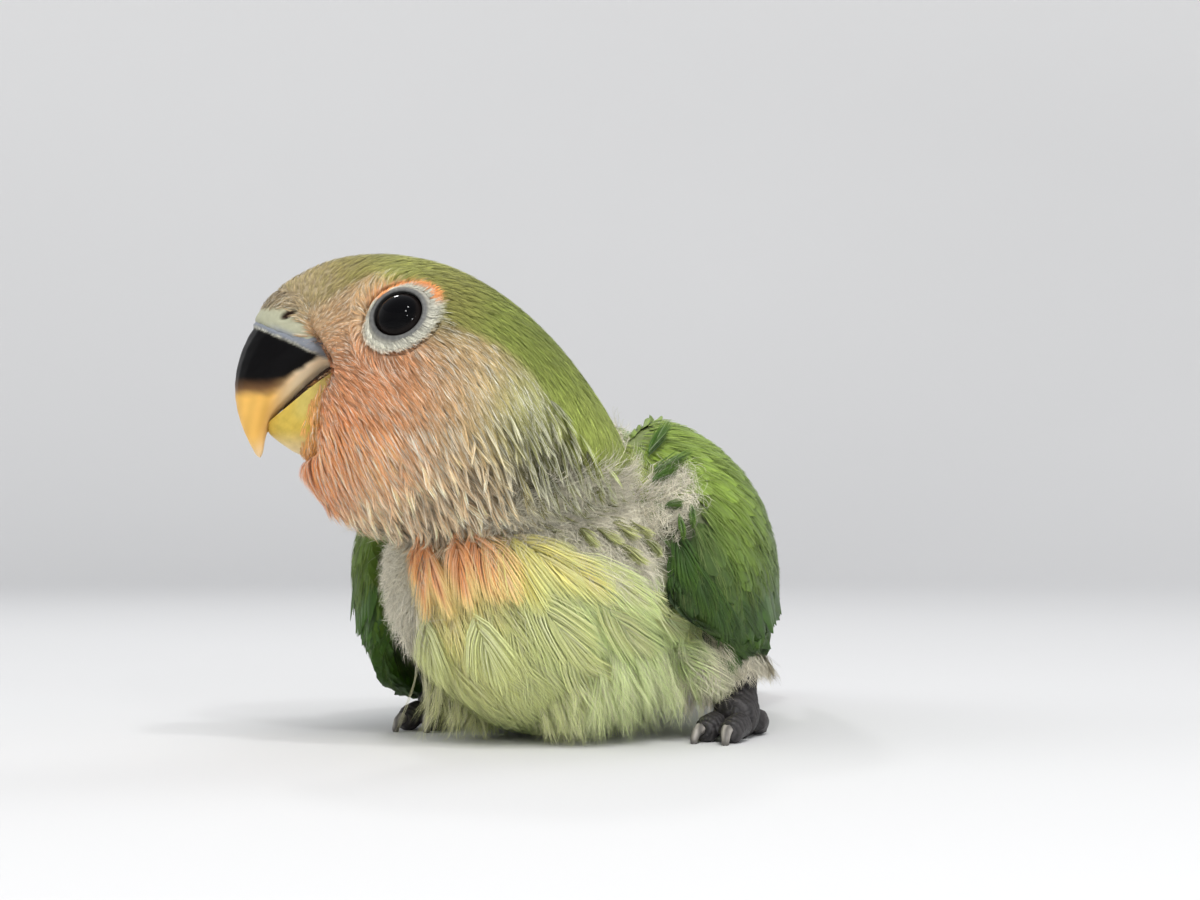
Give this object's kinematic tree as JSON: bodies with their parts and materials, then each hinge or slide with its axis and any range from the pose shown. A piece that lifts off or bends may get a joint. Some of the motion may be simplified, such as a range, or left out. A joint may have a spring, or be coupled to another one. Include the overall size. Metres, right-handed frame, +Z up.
{
  "type": "young lovebird figure",
  "caption": "Still life-size model of a young peach-faced lovebird crouching on its belly, head turned to its right, wings folded.",
  "frame": {"origin": "on the floor, centred under the bird's bounding box", "axes": "+Z up, +Y towards the tail, +X towards the bird's left; the breast faces -Y and the bill points towards -X and -Y"},
  "size_m": [0.0544, 0.104, 0.0578],
  "materials": {
    "plumage_head": "soft short feathers, olive green crown, peach face",
    "down": "grey-beige down",
    "plumage_body": "loose feathers, orange breast to yellow-green belly",
    "plumage_rump": "soft feathers, blue",
    "feather_tail": "stiff feathers, green with a dark band",
    "feather_wing": "overlapping green wing coverts",
    "feather_flight": "stiff dark flight feathers with green edges",
    "scaly_skin": "dark grey scaly skin",
    "claw": "polished dark horn",
    "eye": "wet, black-brown",
    "eye_ring": "bare pale grey skin",
    "cere": "bare greenish-white skin",
    "bill_upper": "smooth horn, black with an amber tip",
    "bill_lower": "smooth horn, yellow"
  },
  "bodies": {
    "root": {"head": "plumage_head", "neck": "down", "trunk": "plumage_body", "rump": "plumage_rump", "tail": "feather_tail", "cere": "cere", "bill_upper": "bill_upper", "bill_lower": "bill_lower", "eye_L": "eye", "eye_ring_L": "eye_ring", "wing_L": "feather_wing", "flight_L": "feather_flight", "thigh_L": "down", "shank_L": "scaly_skin", "toe_L1": "scaly_skin", "claw_L1": "claw", "toe_L2": "scaly_skin", "claw_L2": "claw", "toe_L3": "scaly_skin", "claw_L3": "claw", "toe_L4": "scaly_skin", "claw_L4": "claw", "eye_R": "eye", "eye_ring_R": "eye_ring", "wing_R": "feather_wing", "flight_R": "feather_flight", "thigh_R": "down", "shank_R": "scaly_skin", "toe_R1": "scaly_skin", "claw_R1": "claw", "toe_R2": "scaly_skin", "claw_R2": "claw", "toe_R3": "scaly_skin", "claw_R3": "claw", "toe_R4": "scaly_skin", "claw_R4": "claw"}
  },
  "joints": []
}
